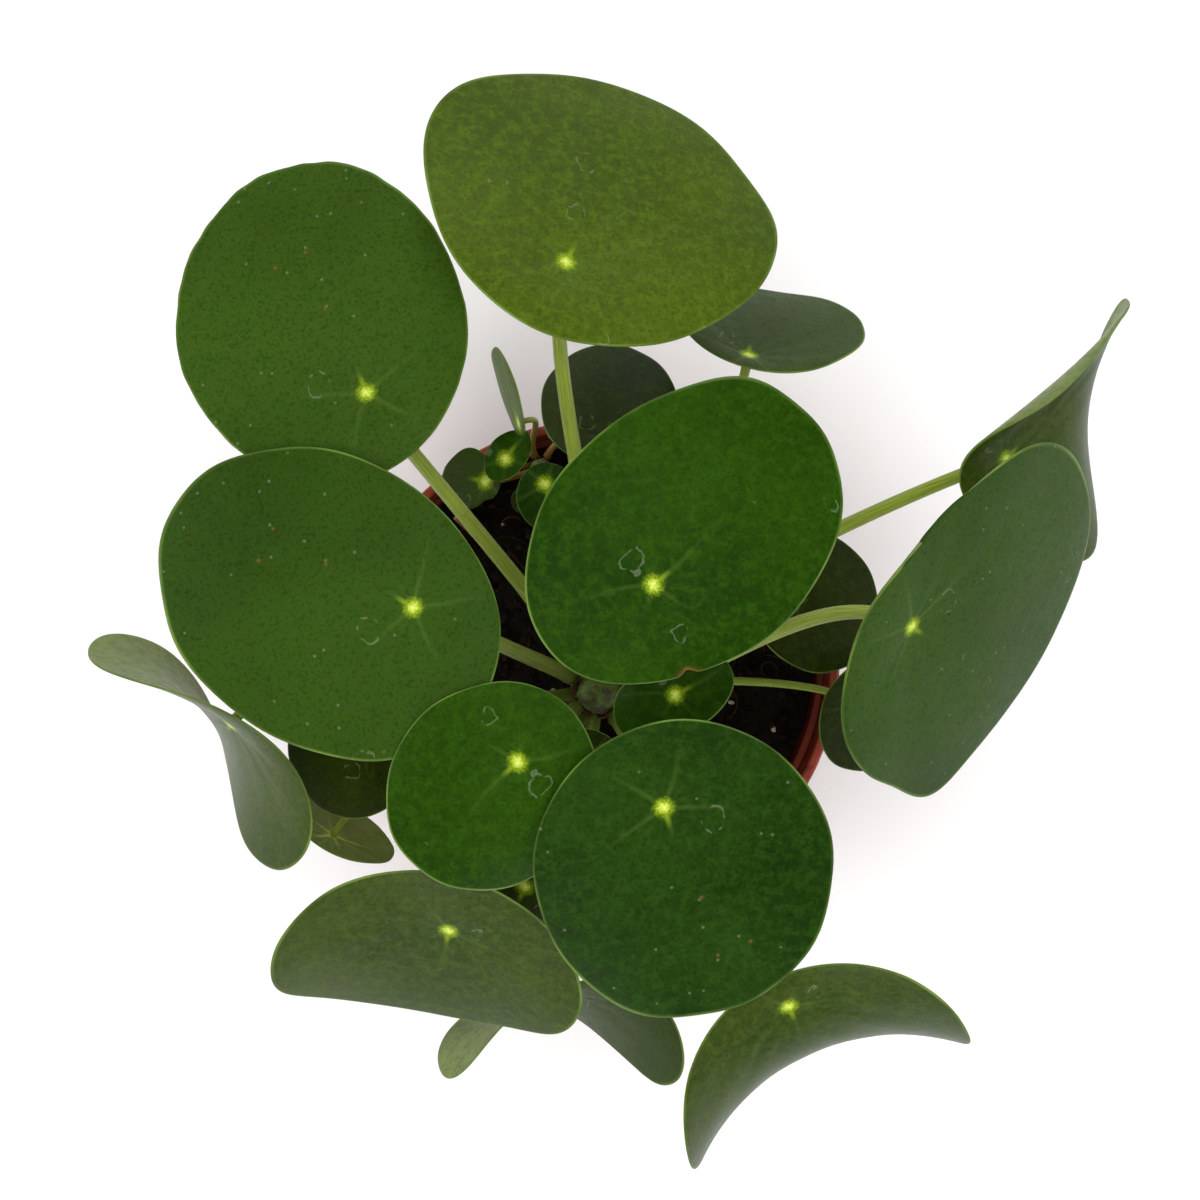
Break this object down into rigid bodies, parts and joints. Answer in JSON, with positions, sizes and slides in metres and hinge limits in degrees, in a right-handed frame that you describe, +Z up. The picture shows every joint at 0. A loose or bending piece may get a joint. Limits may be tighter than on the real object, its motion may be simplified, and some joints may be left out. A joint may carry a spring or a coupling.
{
  "type": "potted pilea plant",
  "caption": "Potted pilea: round shield-shaped leaves on long stalks from a short stem, with a small offset, in a round plastic nursery pot of soil.",
  "frame": {"origin": "middle of the pot's flat underside, on the surface it stands on", "axes": "+Z up, along the pot's axis; +Y towards the back leaf and +X towards the right leaf, as seen from above"},
  "size_m": [0.2418, 0.2432, 0.2268],
  "materials": {
    "pot_plastic": "satin",
    "potting_soil": "matte",
    "stem": "matte",
    "pup_stem": "matte",
    "dry_stalk": "matte",
    "leaf_bright": "satin",
    "leaf_deep": "satin",
    "leaf_olive": "satin",
    "leaf_greyed": "satin",
    "leaf_shaded": "satin"
  },
  "bodies": {
    "root": {"pot": "pot_plastic", "soil": "potting_soil", "main_stem": "stem", "pup_stem": "pup_stem", "dry_leaf_stalk": "dry_stalk", "centre_leaf": "leaf_bright", "back_leaf": "leaf_olive", "back_left_leaf": "leaf_deep", "left_leaf": "leaf_deep", "right_leaf": "leaf_deep", "far_right_leaf": "leaf_olive", "back_right_small_leaf": "leaf_shaded", "back_small_leaf": "leaf_shaded", "right_small_leaf": "leaf_shaded", "right_low_leaf": "leaf_shaded", "front_left_young_leaf": "leaf_bright", "front_leaf": "leaf_deep", "front_left_leaf": "leaf_greyed", "front_right_leaf": "leaf_greyed", "front_low_leaf": "leaf_olive", "far_left_leaf": "leaf_greyed", "left_low_leaf": "leaf_shaded", "drooping_leaf": "leaf_olive", "front_hidden_leaf": "leaf_shaded", "folded_young_leaf": "leaf_bright", "front_young_leaf": "leaf_shaded", "hidden_young_leaf": "leaf_shaded", "pup_back_leaf": "leaf_olive", "pup_left_leaf": "leaf_bright", "pup_lobed_leaf": "leaf_shaded", "pup_right_leaf": "leaf_deep", "pup_low_leaf": "leaf_shaded", "pup_tip_leaf": "leaf_olive"}
  },
  "joints": []
}
